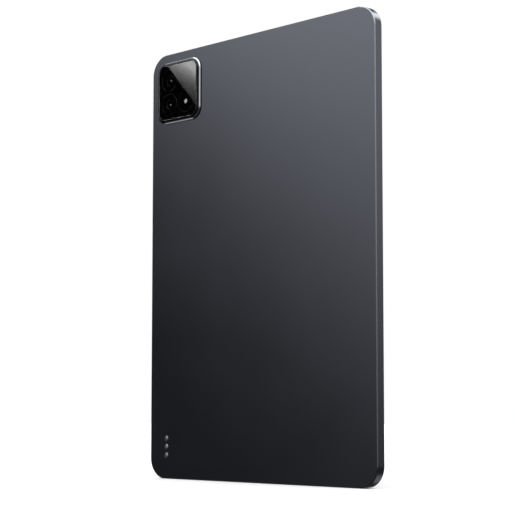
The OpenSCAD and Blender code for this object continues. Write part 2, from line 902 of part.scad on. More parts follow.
module battery_adhesive() {
    color("#e8e8e4") upright() for (sx = [-1, 1], i = [-1 : 1])
        block([sx * cell_x + i * 24, cell_y], 14, cell_l - 12, inside_z, inside_z + glue_t);
}

module battery_board() {
    y = cell_y - cell_l / 2 - 4.5;
    color("#22402f") upright() {
        block([0, y], 40, 4, board_z, board_top_z);
        for (sx = [-1, 1]) block([sx * 12, y], 8, 3, board_top_z, board_top_z + 0.9);
    }
}

// ---------------------------------------------------------------- rail, magnets, screws

module stylus_coil() {
    color("#9b5a2b") upright() difference() {
        block([rail_x, stylus_y], 3.2, 34, rail_z, 3.6);
        block([rail_x, stylus_y], 1.2, 28, 0, body_t);
    }
}

module cover_magnets() {
    color("#9fa1a4") upright() {
        for (y = [84, 96, 108]) block([rail_x, y], 3, 10, rail_z, 3.4);
        for (y = [84, 120, 156]) block([-rail_x, y], 3, 16, rail_z, 3.4);
    }
}

// Screw whose head sits on the level seat, with a six-sided socket
module screw(at, seat, tip) {
    pin(at, screw_r, tip, seat);
    difference() {
        pin(at, screw_head_r, seat, seat + screw_head_t);
        translate([at[0], at[1], seat + screw_head_t / 2])
            cylinder(r = socket_r, h = screw_head_t, $fn = 6);
    }
}

module board_screws() {
    color("#c4c6c8") upright() for (p = board_screw_spots) screw(p, board_top_z, 0.6);
}

module bracket_screws() {
    color("#c4c6c8") upright() for (p = camera_screw_spots) screw(p, bracket_z + bracket_t, 1.4);
}

rear_housing();
antenna_windows();
camera_ring();
camera_glass();
camera_mask();
lens_rings();
camera_gasket();
main_camera_housing();
main_lens_barrel();
main_lens_glass();
main_image_sensor();
second_camera_housing();
second_camera_lens();
flash_led();
flash_lens();
camera_bracket();
cover_glass();
glass_adhesive();
bezel_frame();
frame_gasket();
lcd_panel();
diffuser_sheet();
light_guide();
reflector_sheet();
backlight_tray();
led_bar();
display_board();
front_camera();
light_sensor();
power_button();
volume_up_button();
volume_down_button();
key_switches();
key_brackets();
usb_port_shell();
usb_port_tongue();
usb_seal();
keyboard_contacts();
contact_carrier();
contact_flex();
speaker_boxes();
speaker_drivers();
speaker_meshes();
microphones();
main_board();
shield_cans();
heat_spreader();
board_chips();
sub_board();
board_connectors();
link_flexes();
battery_left();
battery_right();
battery_adhesive();
battery_board();
stylus_coil();
cover_magnets();
board_screws();
bracket_screws();
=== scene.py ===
"""Looks for a slim tablet computer with a metal body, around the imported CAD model.

Shapes are drawn lying on the back, in millimetres: x to the right as seen from the
screen, y up the long side, z from the outer face of the back to the glass. UPRIGHT
stands them up in the frame of the CAD model.
"""

import json
import math

import bmesh
import bpy
from mathutils import Matrix, Vector


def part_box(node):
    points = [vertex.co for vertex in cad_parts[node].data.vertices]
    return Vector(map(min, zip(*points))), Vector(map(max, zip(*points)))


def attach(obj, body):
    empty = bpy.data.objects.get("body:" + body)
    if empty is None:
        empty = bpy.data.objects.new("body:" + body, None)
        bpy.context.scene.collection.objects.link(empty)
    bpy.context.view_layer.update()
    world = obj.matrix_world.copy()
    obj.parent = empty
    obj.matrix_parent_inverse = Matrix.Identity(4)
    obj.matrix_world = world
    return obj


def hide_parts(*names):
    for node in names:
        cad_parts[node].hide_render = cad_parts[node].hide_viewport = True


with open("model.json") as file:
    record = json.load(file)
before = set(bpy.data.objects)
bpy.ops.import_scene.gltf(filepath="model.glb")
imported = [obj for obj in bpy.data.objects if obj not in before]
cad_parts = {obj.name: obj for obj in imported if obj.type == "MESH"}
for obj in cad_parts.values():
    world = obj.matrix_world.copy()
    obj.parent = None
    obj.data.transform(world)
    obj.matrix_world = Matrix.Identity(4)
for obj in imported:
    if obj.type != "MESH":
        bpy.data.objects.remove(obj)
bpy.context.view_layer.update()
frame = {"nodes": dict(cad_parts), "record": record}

MM = 0.001
BACK_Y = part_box("rear_housing")[1].y
UPRIGHT = Matrix(((MM, 0, 0, 0), (0, 0, -MM, BACK_Y), (0, MM, 0, 0), (0, 0, 0, 1)))
DRAWN = UPRIGHT.inverted()
TABLET = "tablet"
# Steps round a quarter of a corner and round a whole circle
CORNER_STEPS, ROUND_STEPS = 28, 96
# Distances under which points fall together: in the CAD meshes and in the drawing frame
CAD_MERGE, MERGE = 1e-7, 1e-6
# Smallest corner radius, radius of a sharp box's edges, and radius of a dome's tip
SMALLEST_R, SHARP_R, TIP_R = 0.02, 1e-4, 0.01


# ---------------- where things are


def drawn_box(points):
    """(lowest, highest) corner of points of the frame, in the drawing frame."""
    drawn = [DRAWN @ Vector(p) for p in points]
    return (Vector(map(min, *drawn)), Vector(map(max, *drawn)))


def node_box(node):
    return drawn_box(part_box(node))


def solids(node):
    """Boxes of a CAD node's separate solids, in the drawing frame, by x and then y."""
    bm = bmesh.new()
    bm.from_mesh(frame["nodes"][node].data)
    bmesh.ops.remove_doubles(bm, verts=bm.verts, dist=CAD_MERGE)
    left, boxes = set(bm.verts), []
    while left:
        group, edge = set(), [next(iter(left))]
        while edge:
            v = edge.pop()
            if v in group:
                continue
            group.add(v)
            edge.extend(e.other_vert(v) for e in v.link_edges)
        left -= group
        boxes.append(drawn_box([v.co for v in group]))
    bm.free()
    return sorted(boxes, key=lambda b: (round(b[0].x, 2), round(b[0].y, 2)))


def middle(box):
    return (box[0] + box[1]) / 2


def size(box):
    return box[1] - box[0]


# ---------------- outlines


def round_square(w, l, r, grow=0.0):
    """Rounded rectangle about the origin, made larger all round by grow."""
    w, l, r = w / 2 + grow, l / 2 + grow, max(r + grow, SMALLEST_R)
    points = []
    for k, (cx, cy) in enumerate([(w - r, l - r), (r - w, l - r), (r - w, r - l), (w - r, r - l)]):
        for i in range(CORNER_STEPS + 1):
            a = math.pi / 2 * (k + i / CORNER_STEPS)
            points.append((cx + r * math.cos(a), cy + r * math.sin(a)))
    return points


def slot_at(u, v, length, height, steps):
    """Outline, for pushed, of a slot with round ends about (u, v); a circle if length is height."""
    def outline(grow):
        r, straight = height / 2 + grow, (length - height) / 2
        points = []
        for i in range(steps):
            a = 2 * math.pi * (i + 0.5) / steps
            side = straight if math.cos(a) > 0 else -straight
            points.append((side + r * math.cos(a) + u, r * math.sin(a) + v))
        return points
    return outline


def circle(r, steps):
    return [
        (r * math.cos(2 * math.pi * i / steps), r * math.sin(2 * math.pi * i / steps))
        for i in range(steps)
    ]


def fillet(points, radii, steps):
    """Open line through points whose corners are rounded; radii has one per point."""
    line = []
    for i, (p, r) in enumerate(zip(points, radii)):
        if r <= 0 or i in (0, len(points) - 1):
            line.append(tuple(p))
            continue
        here, before, after = Vector(p), Vector(points[i - 1]), Vector(points[i + 1])
        a, b = (before - here).normalized(), (after - here).normalized()
        half = a.angle(b) / 2
        centre = here + (a + b).normalized() * (r / math.sin(half))
        start = (here + a * (r / math.tan(half)) - centre).normalized()
        end = (here + b * (r / math.tan(half)) - centre).normalized()
        for k in range(steps + 1):
            line.append(tuple(centre + start.slerp(end, k / steps) * r))
    return line


# ---------------- mesh building


class Shape:
    """Closed solids collected as points and faces; each face has a material index."""

    def __init__(self):
        self.points, self.faces, self.looks = [], [], []

    def loft(self, rings, looks=0, wrap=False):
        """Solid through rings of equal length, capped at both ends, or wrapped round."""
        base, n = len(self.points), len(rings[0])
        for ring in rings:
            self.points.extend(Vector(p) for p in ring)
        last = len(rings) if wrap else len(rings) - 1
        looks = looks if isinstance(looks, list) else [looks] * last
        for k in range(last):
            a, b = base + k * n, base + (k + 1) % len(rings) * n
            for i in range(n):
                j = (i + 1) % n
                self.faces.append((a + i, a + j, b + j, b + i))
                self.looks.append(looks[k])
        if not wrap:
            self.faces.append(tuple(base + i for i in reversed(range(n))))
            self.faces.append(tuple(base + last * n + i for i in range(n)))
            self.looks.extend([looks[0], looks[-1]])
        return self

    def swept(self, at, w, l, r, profile, looks=0):
        """Solid whose edge follows profile, a line of (inset, z), round a plan."""
        rings = [
            [(at[0] + x, at[1] + y, z) for x, y in round_square(w, l, r, -inset)]
            for inset, z in profile
        ]
        return self.loft(rings, looks)

    def lathe(self, at, profile, wrap=False, steps=ROUND_STEPS):
        """Solid of revolution about z at [x, y]; profile is a line of (radius, z)."""
        rings = [[(at[0] + x, at[1] + y, z) for x, y in circle(r, steps)] for r, z in profile]
        return self.loft(rings, wrap=wrap)

    def pushed(self, outline, stations, place, looks=0):
        """Outline pushed through stations of (depth, grow); place turns (u, v, depth) to xyz."""
        rings = [[place(u, v, depth) for u, v in outline(grow)] for depth, grow in stations]
        return self.loft(rings, looks)

    def box(self, lo, hi, edge=0.0):
        """Box between two corners, with its upright edges and its top and bottom softened."""
        lo, hi = Vector(lo), Vector(hi)
        at, span = (lo + hi) / 2, hi - lo
        steps = 2 if edge else 1
        corners = []
        for k, (sx, sy) in enumerate([(1, 1), (-1, 1), (-1, -1), (1, -1)]):
            for i in range(steps + 1):
                a = math.pi / 2 * (k + i / steps)
                corners.append((sx, sy, math.cos(a), math.sin(a)))
        profile = [(0, lo.z), (0, hi.z)]
        if edge:
            profile = [(edge, lo.z), (0, lo.z + edge), (0, hi.z - edge), (edge, hi.z)]
        # A trace of roundness stays everywhere, so that no two points fall together
        r, drawn_in = max(edge, SHARP_R), 0.99
        return self.loft([
            [(at.x + sx * (span.x / 2 - r) + c * (r - inset * drawn_in),
              at.y + sy * (span.y / 2 - r) + s * (r - inset * drawn_in), z)
             for sx, sy, c, s in corners]
            for inset, z in profile
        ])

    def mesh(self, name):
        mesh = bpy.data.meshes.new(name)
        mesh.from_pydata([tuple(p) for p in self.points], [], self.faces)
        mesh.polygons.foreach_set("material_index", self.looks)
        bm = bmesh.new()
        bm.from_mesh(mesh)
        bmesh.ops.remove_doubles(bm, verts=bm.verts, dist=MERGE)
        bmesh.ops.recalc_face_normals(bm, faces=bm.faces)
        bm.to_mesh(mesh)
        bm.free()
        return mesh

    def object(self, name):
        mesh = self.mesh(name)
        # Empty slots carry the faces' material numbers through the booleans
        for _ in range(max(self.looks) + 2):
            mesh.materials.append(None)
        obj = bpy.data.objects.new(name, mesh)
        bpy.context.scene.collection.objects.link(obj)
        return obj


def applied(obj):
    """Takes the result of an object's modifiers as its mesh."""
    bpy.context.view_layer.update()
    mesh = bpy.data.meshes.new_from_object(obj.evaluated_get(bpy.context.evaluated_depsgraph_get()))
    obj.modifiers.clear()
    obj.data = mesh


def combine(obj, shape, operation, overlapping=False):
    """Joins a shape to an object or cuts it away; overlapping says that its solids overlap."""
    tool = shape.object(obj.name + "_tool")
    mod = obj.modifiers.new(operation, "BOOLEAN")
    mod.object, mod.operation, mod.solver, mod.use_self = tool, operation, "EXACT", overlapping
    applied(obj)
    bpy.data.objects.remove(tool)


def finished(obj, materials, body=TABLET, nodes=(), smooth=40):
    """Stands a drawn object up, shades it, and puts it on its body; smooth is in degrees."""
    obj.data.transform(UPRIGHT)
    obj.data.shade_smooth()
    obj.data.set_sharp_from_angle(angle=math.radians(smooth))
    weights = obj.modifiers.new("weights", "WEIGHTED_NORMAL")
    weights.keep_sharp = True
    looks = [0] * len(obj.data.polygons)
    obj.data.polygons.foreach_get("material_index", looks)
    obj.data.materials.clear()
    for material in materials:
        obj.data.materials.append(material)
    obj.data.polygons.foreach_set("material_index", [min(i, len(materials) - 1) for i in looks])
    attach(obj, body)
    if nodes:
        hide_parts(*nodes)
    return obj


# ---------------- materials


def add(tree, kind, links=(), props=(), **values):
    """Adds a shader node; links and values go to its inputs by name or number (i3 is input 3)."""
    made = tree.nodes.new("ShaderNode" + kind)
    for key, value in dict(props).items():
        setattr(made, key, value)
    for key, value in values.items():
        key = int(key[1:]) if key[0] == "i" and key[1:].isdigit() else key.replace("_", " ")
        made.inputs[key].default_value = value
    for key, source in dict(links).items():
        tree.links.new(source, made.inputs[key])
    return made


def tinted(color, gain):
    return tuple(min(1.0, c * gain) for c in color[:3]) + (1.0,)


def coords(tree, stretch=(1, 1, 1)):
    """Place on the object in millimetres."""
    at = add(tree, "TexCoord")
    return add(tree, "Mapping", {"Vector": at.outputs["Object"]},
               Scale=[s / MM for s in stretch]).outputs["Vector"]


def noise(tree, where, scale, detail):
    return add(tree, "TexNoise", {"Vector": where}, Scale=scale, Detail=detail,
               Roughness=0.55).outputs["Fac"]


def spread(tree, value, low, high, start=0.3, end=0.7):
    """Maps a noise value to the range from low to high."""
    return add(tree, "MapRange", {"Value": value}, i1=start, i2=end, i3=low, i4=high).outputs[0]


def mixed(tree, factor, a, b):
    """Colour between a and b, each a node's output or a fixed colour."""
    made = add(tree, "Mix", {0: factor}, {"data_type": "RGBA"})
    input_a, input_b, color_out = 6, 7, 2
    for place, colour in ((input_a, a), (input_b, b)):
        if isinstance(colour, tuple):
            made.inputs[place].default_value = colour
        else:
            tree.links.new(colour, made.inputs[place])
    return made.outputs[color_out]


def blank(name):
    material = bpy.data.materials.new(name)
    material.use_nodes = True
    return material, material.node_tree, material.node_tree.nodes["Principled BSDF"]


def surface(name, color, rough, metal, vary, cloud, grain, depth, rough_vary=0.04,
            stretch=(1, 1, 1), pattern=None, **sockets):
    """Surface with soft colour clouds, a fine grain that changes tone, gloss and height.

    cloud and grain are in waves per millimetre and depth is in millimetres.
    """
    material, tree, bsdf = blank(name)
    where = coords(tree, stretch)
    clouds = noise(tree, where, cloud, 4.0)
    fine = noise(tree, where, grain, 2.0)
    both = add(tree, "Math", {0: clouds, 1: fine}, {"operation": "ADD"}).outputs[0]
    low, high = 0.7, 1.3
    tone = spread(tree, both, 0.0, 1.0, low, high)
    paint = mixed(tree, tone, tinted(color, 1 - vary), tinted(color, 1 + vary))
    height = fine
    if pattern:
        paint, height = pattern(tree, where, paint)
    tree.links.new(paint, bsdf.inputs["Base Color"])
    tree.links.new(spread(tree, both, rough - rough_vary, rough + rough_vary, low, high),
                   bsdf.inputs["Roughness"])
    bump = add(tree, "Bump", {"Height": height}, Strength=1.0, Distance=depth * MM)
    tree.links.new(bump.outputs["Normal"], bsdf.inputs["Normal"])
    bsdf.inputs["Metallic"].default_value = metal
    for key, value in sockets.items():
        bsdf.inputs[key.replace("_", " ")].default_value = value
    return material


def wave(tree, where, scale, axis):
    return add(tree, "TexWave", {"Vector": where}, {"bands_direction": axis, "wave_profile": "SIN"},
               Scale=scale, Distortion=0.0).outputs["Fac"]


def lines_pattern(line_color, scale):
    """Fine parallel tracks, as on a flexible circuit."""
    def pattern(tree, where, paint):
        tracks = wave(tree, where, scale, "X")
        mask = spread(tree, tracks, 0.0, 1.0, 0.45, 0.6)
        return mixed(tree, mask, paint, line_color), mask
    return pattern


def board_pattern(track_color, pad_color):
    """Copper tracks under solder mask, with small round plated holes."""
    def pattern(tree, where, paint):
        cells = add(tree, "TexVoronoi", {"Vector": where}, {"distance": "MANHATTAN"},
                    Scale=0.55, Randomness=0.35)
        tracks = add(tree, "Math", {0: wave(tree, where, 1.1, "Z"), 1: wave(tree, where, 0.8, "X")},
                     {"operation": "MAXIMUM"}).outputs[0]
        near = spread(tree, cells.outputs["Distance"], 1.0, 0.0, 0.12, 0.18)
        laid = mixed(tree, spread(tree, tracks, 0.0, 1.0, 0.75, 0.85), paint, track_color)
        return mixed(tree, near, laid, pad_color), tracks
    return pattern


def cells_pattern(scale, dark):
    """Small closed cells, as in foam or a moulded grain."""
    def pattern(tree, where, paint):
        cells = add(tree, "TexVoronoi", {"Vector": where}, Scale=scale).outputs["Distance"]
        return mixed(tree, spread(tree, cells, 0.0, 1.0, 0.05, 0.6), dark, paint), cells
    return pattern


def weave_pattern(scale, dark):
    """Over and under weave."""
    def pattern(tree, where, paint):
        made = add(tree, "Math", {0: wave(tree, where, scale, "X"), 1: wave(tree, where, scale, "Z")},
                   {"operation": "MULTIPLY"}).outputs[0]
        return mixed(tree, made, dark, paint), made
    return pattern


def dots_pattern(scale, dot):
    """Even printed dots."""
    def pattern(tree, where, paint):
        cells = add(tree, "TexVoronoi", {"Vector": where}, Scale=scale, Randomness=0.0)
        mask = spread(tree, cells.outputs["Distance"], 1.0, 0.0, 0.25, 0.3)
        return mixed(tree, mask, paint, dot), mask
    return pattern


def clear(name, color, ior, rough):
    """Clear glass with a trace of unevenness in its gloss."""
    material, tree, bsdf = blank(name)
    where = coords(tree)
    smear = noise(tree, where, 0.08, 4.0)
    paint = mixed(tree, spread(tree, smear, 0.0, 1.0), tinted(color, 0.97), tinted(color, 1.0))
    tree.links.new(paint, bsdf.inputs["Base Color"])
    smeared = rough + 0.02
    tree.links.new(spread(tree, smear, rough, smeared), bsdf.inputs["Roughness"])
    bsdf.inputs["Transmission Weight"].default_value = 1.0
    bsdf.inputs["IOR"].default_value = ior
    return material


def make_looks():
    """Material of each slot, and of the details that share a slot with other pieces.

    What follows a slot is what surface takes after the name, or clear for glass.
    """
    copper, gold = (0.50, 0.24, 0.10, 1), (0.62, 0.45, 0.18, 1)
    looks = {}

    def put(slot, *numbers, name=None, make=surface, **more):
        looks[slot] = make(name or slot, *numbers, **more)

    put("housing_metal", (0.0805, 0.085, 0.0997), 0.243, 1.0, 0.03, 0.02, 4.0, 0.0006, 0.015,
        name="blasted_metal")
    put("housing_chamfer", (0.145, 0.147, 0.16), 0.16, 1.0, 0.06, 0.3, 8.0, 0.0004, 0.03,
        name="cut_chamfer")
    put("antenna_plastic", (0.022, 0.023, 0.026), 0.38, 0.0, 0.06, 0.3, 9.0, 0.0015)
    put("island_metal", (0.030, 0.031, 0.035), 0.14, 1.0, 0.04, 0.1, 7.0, 0.0004, 0.02)
    put("island_bevel", (0.262, 0.266, 0.288), 0.11, 1.0, 0.05, 0.2, 9.0, 0.0003, 0.02)
    put("camera_glass", (0.9, 0.9, 0.905), 1.62, 0.0, make=clear)
    put("black_film", (0.0012, 0.0012, 0.0014), 0.6, 0.0, 0.15, 0.2, 7.0, 0.001,
        Specular_IOR_Level=0.0)
    put("ring_metal", (0.016, 0.0162, 0.018), 0.22, 1.0, 0.08, 0.4, 9.0, 0.001, name="turned_ring")
    put("black_foam", (0.015, 0.015, 0.016), 0.85, 0.0, 0.2, 0.3, 3.0, 0.05, name="foam",
        pattern=cells_pattern(2.6, (0.006, 0.006, 0.007, 1)))
    put("camera_can", (0.0025, 0.0025, 0.003), 0.5, 0.0, 0.15, 0.3, 7.0, 0.003,
        Specular_IOR_Level=0.04)
    put("lens_glass", (0.93, 0.93, 0.95), 1.02, 0.0, make=clear)
    put("lens_stop", (0.0015, 0.0015, 0.0018), 0.6, 0.0, 0.15, 0.3, 7.0, 0.002,
        Specular_IOR_Level=0.0)
    put("inner_lens", (0.6, 0.6, 0.62), 0.2, 1.0, 0.1, 0.5, 6.0, 0.0001, 0.02)
    put("sensor_glass", (0.012, 0.035, 0.04), 0.12, 0.0, 0.3, 0.4, 9.0, 0.001,
        pattern=weave_pattern(9.0, (0.01, 0.02, 0.05, 1)))
    put("emitter", (0.75, 0.62, 0.18), 0.5, 0.0, 0.12, 0.3, 6.0, 0.01,
        pattern=cells_pattern(6.0, (0.7, 0.5, 0.1, 1)))
    put("flash_lens", (0.82, 0.80, 0.80), 0.25, 0.0, 0.04, 0.3, 6.0, 0.003, Subsurface_Weight=0.3,
        Subsurface_Radius=(0.001, 0.001, 0.0009), Coat_Weight=0.5)
    put("steel_sheet", (0.4, 0.41, 0.42), 0.33, 1.0, 0.1, 0.1, 5.0, 0.003, 0.06,
        name="stamped_sheet", stretch=(0.15, 1, 1))
    put("cover_glass", (0.8, 0.82, 0.83), 1.5, 0.0, make=clear)
    put("clear_adhesive", (0.9, 0.91, 0.92), 1.48, 0.1, make=clear)
    put("bezel_plastic", (0.008, 0.008, 0.009), 0.42, 0.0, 0.15, 0.3, 7.0, 0.003,
        Specular_IOR_Level=0.15)
    put("panel_glass", (0.0055, 0.006, 0.008), 0.2, 0.0, 0.1, 0.01, 4.0, 0.0005,
        pattern=weave_pattern(3.4, (0.004, 0.0045, 0.0065, 1)), Specular_IOR_Level=0.05)
    put("white_film", (0.85, 0.85, 0.84), 0.55, 0.0, 0.03, 0.1, 6.0, 0.003)
    put("light_guide", (0.72, 0.78, 0.8), 0.12, 0.0, 0.04, 0.1, 4.0, 0.001,
        pattern=dots_pattern(1.6, (0.93, 0.94, 0.94, 1)))
    put("tray_metal", (0.45, 0.46, 0.47), 0.3, 1.0, 0.06, 0.08, 5.0, 0.002, 0.05,
        stretch=(1, 1, 0.12))
    put("circuit_board", (0.012, 0.05, 0.026), 0.35, 0.0, 0.12, 0.2, 5.0, 0.02,
        pattern=board_pattern((0.03, 0.10, 0.045, 1), gold))
    put("key_metal", (0.105, 0.11, 0.125), 0.24, 1.0, 0.04, 0.1, 6.0, 0.0008, 0.02)
    put("key_edge", (0.2, 0.205, 0.23), 0.13, 1.0, 0.05, 0.3, 8.0, 0.0004, 0.03)
    put("switch_metal", (0.55, 0.56, 0.57), 0.28, 1.0, 0.1, 0.5, 7.0, 0.003)
    put("socket_steel", (0.42, 0.43, 0.44), 0.26, 1.0, 0.1, 0.3, 6.0, 0.002, 0.06,
        stretch=(1, 1, 0.2))
    put("black_plastic", (0.007, 0.007, 0.008), 0.45, 0.0, 0.15, 0.2, 5.0, 0.008,
        pattern=cells_pattern(4.0, (0.005, 0.005, 0.006, 1)), Specular_IOR_Level=0.12)
    put("black_rubber", (0.014, 0.014, 0.015), 0.7, 0.0, 0.2, 0.4, 6.0, 0.01)
    put("contact_metal", (0.40, 0.405, 0.42), 0.42, 1.0, 0.06, 0.4, 7.0, 0.002, 0.05)
    put("gold_contact", gold, 0.25, 1.0, 0.08, 0.5, 8.0, 0.001, 0.05)
    put("copper_flex", (0.33, 0.15, 0.035), 0.4, 0.0, 0.1, 0.2, 4.0, 0.01,
        pattern=lines_pattern(copper, 0.5))
    put("driver_metal", (0.16, 0.165, 0.17), 0.34, 1.0, 0.1, 0.2, 6.0, 0.004,
        pattern=cells_pattern(1.6, (0.1, 0.1, 0.105, 1)))
    put("steel_mesh", (0.03, 0.03, 0.032), 0.36, 0.9, 0.2, 1.0, 9.0, 0.003)
    put("graphite", (0.03, 0.03, 0.032), 0.42, 0.3, 0.3, 0.3, 4.0, 0.01)
    put("chip_resin", (0.012, 0.012, 0.013), 0.55, 0.0, 0.25, 0.5, 8.0, 0.01)
    put("connector_plastic", (0.55, 0.52, 0.43), 0.42, 0.0, 0.06, 0.3, 6.0, 0.004)
    put("battery_pouch", (0.032, 0.033, 0.036), 0.34, 0.6, 0.15, 0.04, 1.2, 0.04, 0.08)
    put("coil_copper", (0.42, 0.16, 0.05), 0.3, 1.0, 0.1, 0.3, 5.0, 0.03,
        pattern=lines_pattern((0.28, 0.1, 0.03, 1), 1.4))
    put("magnet_metal", (0.4, 0.41, 0.42), 0.22, 1.0, 0.08, 0.2, 4.0, 0.004)
    put("screw_steel", (0.6, 0.61, 0.62), 0.3, 1.0, 0.12, 0.6, 8.0, 0.004)
    return looks


LOOK = make_looks()


# ---------------- housing

HOUSING = node_box("rear_housing")
BODY_W, BODY_L, RIM_Z = size(HOUSING)
MID = (0.0, BODY_L / 2)
CORNER_R, CHAMFER, RIM_ROUND = 11.6, 0.45, 0.8
WALL, FLOOR, LEDGE_Z, FRAME_INSET = 2.1, 0.8, 4.8, 1.2
# Ends of a line that only guide its fillets lie this far off, and are cut off again
FAR = 3.0
BOARD_BOSS_R, CAMERA_BOSS_R, SCREW_R = 1.9, 1.6, 0.62
RIB_X, RIB_HALF, RIB_TOP = 79.2, 0.4, 3.4
ISLAND_HOLE_W, ISLAND_HOLE_R, PAD_HOLE_R = 31.1, 4.45, 1.7
SPEAKER_HOLES, SPEAKER_PITCH, SPEAKER_HOLE_W = 10, 2.4, 1.3
KEY_FLANGE, KEY_H, KEY_GAP = 0.7, 2.4, 0.06
PORT_W, PORT_H, MIC_W = 9.24, 3.36, 1.0
BOTTOM_MIC_AT, SIDE_MIC_AT = (9.5, 2.5), (188, 2.95)


def from_bottom(u, v, depth):
    return (u, depth, v)


def from_top(u, v, depth):
    return (u, BODY_L - depth, v)


def from_right(u, v, depth):
    return (BODY_W / 2 - depth, u, v)


KEYS = {
    "power_button": ("power_key", from_top), "volume_up_button": ("volume_up_key", from_right),
    "volume_down_button": ("volume_down_key", from_right),
}


def key_spot(node, place):
    """A key's middle along its edge, its length with the flange, and its height over the back."""
    b = node_box(node)
    along = 0 if place is from_top else 1
    return middle(b)[along], size(b)[along], middle(b).z


def opening(shape, outline, place, edge=0.1):
    """Cutter for a hole through the wall whose mouth has a small chamfer."""
    out, deep = 0.6, WALL + 0.1
    stations = [(-out, out + edge), (edge, 0), (deep, 0)]
    shape.pushed(outline, stations, place, [1, 0])


def build_housing():
    # From the back face over the chamfer, up the side and over the rim, then down to the floor
    side = fillet([(FAR, 0), (CHAMFER, 0), (0, CHAMFER), (0, FAR)], [0, 0.07, 0.1, 0], 4)[1:-1]
    rim = fillet([(0, FAR), (0, RIM_Z), (FRAME_INSET, RIM_Z), (FRAME_INSET, LEDGE_Z),
                  (WALL, LEDGE_Z), (WALL, FLOOR)], [0, RIM_ROUND, 0.05, 0, 0.05, 0], 8)[1:]
    profile = side + rim
    chamfer_at = 4
    looks = [0] * (len(profile) - 1)
    looks[chamfer_at] = 1
    shape = Shape().swept(MID, BODY_W, BODY_L, CORNER_R, profile, looks)
    obj = shape.object("housing")

    # Screw bosses (place, radius, top, floor of the bore) and the two ribs that hold the batteries
    board_top, camera_top = node_box("main_board")[0].z, node_box("camera_bracket")[0].z
    bosses = [(middle(b), BOARD_BOSS_R, board_top, 0.4) for b in solids("board_screws")]
    bosses += [(middle(b), CAMERA_BOSS_R, camera_top, 1.2) for b in solids("bracket_screws")]
    extra, root = Shape(), FLOOR - 0.2
    for at, r, top, _ in bosses:
        extra.lathe(at, fillet([(r, root), (r, top), (0.4, top)], [0, 0.1, 0], 2), steps=48)
    cell = node_box("battery_left")
    for y in (cell[0].y - 1, cell[1].y + 1):
        extra.box((-RIB_X, y - RIB_HALF, root), (RIB_X, y + RIB_HALF, RIB_TOP), edge=0.08)
    combine(obj, extra, "UNION")

    tools = Shape()
    for at, _, top, bore_floor in bosses:
        tools.lathe(at, [(SCREW_R, bore_floor), (SCREW_R, top + 1)], steps=32)
    island = middle(node_box("camera_ring"))
    tools.swept(island, ISLAND_HOLE_W, ISLAND_HOLE_W, ISLAND_HOLE_R, [(0, -1), (0, FLOOR + 0.3)])
    for b in solids("keyboard_contacts"):
        sink = 0.06
        tools.lathe(middle(b), [(PAD_HOLE_R + 0.6 + sink, -0.6), (PAD_HOLE_R, sink),
                                (PAD_HOLE_R, FLOOR + 1)])
    for b in solids("speaker_meshes"):
        m = middle(b)
        place = from_bottom if m.y < BODY_L / 2 else from_top
        for i in range(SPEAKER_HOLES):
            x = m.x + (i - (SPEAKER_HOLES - 1) / 2) * SPEAKER_PITCH
            opening(tools, slot_at(x, m.z, SPEAKER_HOLE_W, SPEAKER_HOLE_W, 40), place)
    for node, (_, place) in KEYS.items():
        u, long, z = key_spot(node, place)
        slot_w, slot_h = long - 2 * KEY_FLANGE + 2 * KEY_GAP, KEY_H + 2 * KEY_GAP
        opening(tools, slot_at(u, z, slot_w, slot_h, 64), place, edge=0.08)
    port_z = middle(node_box("usb_port_shell")).z
    opening(tools, slot_at(0, port_z, PORT_W, PORT_H, 96), from_bottom, edge=0.14)
    for at, place in ((BOTTOM_MIC_AT, from_bottom), (SIDE_MIC_AT, from_right)):
        opening(tools, slot_at(*at, MIC_W, MIC_W, 32), place, edge=0.12)
    gap = 0.02
    for lo, hi in solids("antenna_windows"):
        tools.box((lo.x - gap, lo.y - 1, lo.z - gap), (hi.x + gap, hi.y + 1, hi.z + gap))
    combine(obj, tools, "DIFFERENCE")
    finished(obj, [LOOK["housing_metal"], LOOK["housing_chamfer"]],
             nodes=["rear_housing"])


# ---------------- camera island

RINGS = solids("lens_rings")
LENS_SPOTS = {
    "flash": middle(RINGS[0]), "plain": middle(RINGS[1]),
    "second": middle(RINGS[2]), "main": middle(RINGS[3]),
}
ISLAND = node_box("camera_ring")
ISLAND_AT = middle(ISLAND)
ISLAND_W = size(ISLAND).x
ISLAND_TOP = ISLAND[0].z
RING_FLOOR_Z = node_box("camera_mask")[1].z
RING_R = size(RINGS[0]).x / 2
# Radius of the clear window in each lens ring; the plain one has none
WINDOWS = {"main": 3.9, "second": 3.1, "flash": 1.25, "plain": 0.0}
ISLAND_R, WINDOW_R, MASK_R, RING_WIDTH = 7.1, 5.0, 4.8, 0.35


